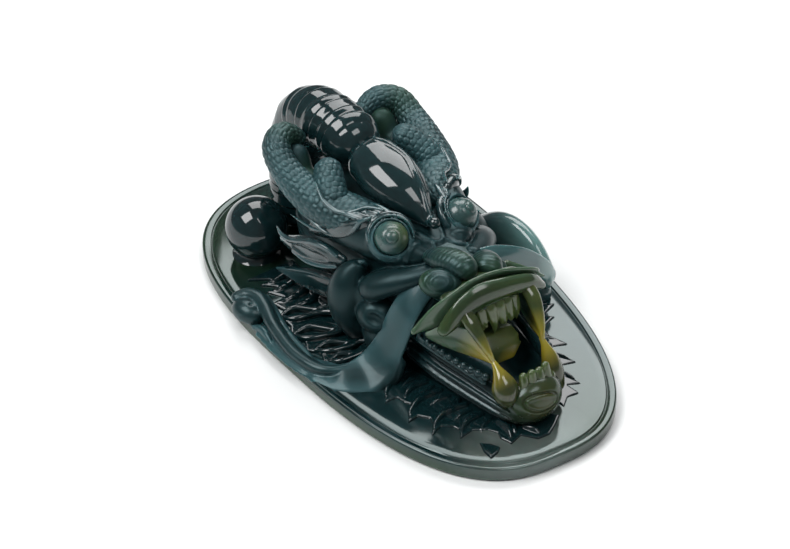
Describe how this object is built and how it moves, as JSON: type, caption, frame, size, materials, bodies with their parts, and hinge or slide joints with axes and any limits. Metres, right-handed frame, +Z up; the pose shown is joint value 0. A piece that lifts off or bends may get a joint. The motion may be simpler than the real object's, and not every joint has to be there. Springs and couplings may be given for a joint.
{
  "type": "carved jade dragon-head plaque",
  "caption": "Oval hardstone hand piece carved in high relief with a roaring dragon's head, resting on its flat back.",
  "frame": {"origin": "centre of the tablet's flat underside", "axes": "+Y along the tablet's length towards its wider rear end; the dragon faces -Y; +Z up, out of the tablet's carved face; +X to the right of a viewer who faces the dragon"},
  "size_m": [0.0458, 0.08, 0.0313],
  "materials": {
    "jade_polished": "gloss",
    "jade_satin": "satin",
    "jade_olive": "gloss",
    "jade_golden": "gloss"
  },
  "bodies": {
    "root": {"base_plaque": "jade_polished", "bead_teeth_left": "jade_satin", "bead_teeth_right": "jade_satin", "beard": "jade_polished", "brow_left": "jade_satin", "brow_right": "jade_satin", "cheek_fin_left": "jade_polished", "cheek_fin_right": "jade_polished", "cheek_lobe_left": "jade_satin", "cheek_lobe_right": "jade_satin", "cheek_roll_left": "jade_satin", "cheek_roll_right": "jade_satin", "chin_scroll": "jade_golden", "crest": "jade_polished", "ear_left": "jade_satin", "ear_right": "jade_satin", "eye_left": "jade_olive", "eye_right": "jade_olive", "horn_branch_left": "jade_satin", "horn_branch_right": "jade_satin", "horn_left": "jade_satin", "horn_right": "jade_satin", "jowl_left": "jade_satin", "jowl_right": "jade_satin", "lip_flap_left": "jade_olive", "lip_flap_right": "jade_olive", "lower_fang_left": "jade_golden", "lower_fang_right": "jade_golden", "lower_jaw": "jade_satin", "lower_teeth": "jade_olive", "mane_left": "jade_polished", "mane_right": "jade_polished", "mouth_web_left": "jade_golden", "mouth_web_right": "jade_golden", "neck_ribs": "jade_polished", "nose_roll_left": "jade_olive", "nose_roll_right": "jade_olive", "nostril_left": "jade_olive", "nostril_right": "jade_olive", "pearl": "jade_polished", "skull": "jade_satin", "snout": "jade_olive", "tongue": "jade_golden", "upper_fang_left": "jade_olive", "upper_fang_right": "jade_olive", "upper_lip": "jade_olive", "upper_teeth": "jade_olive", "whisker_left": "jade_polished", "whisker_right": "jade_polished"}
  },
  "joints": []
}
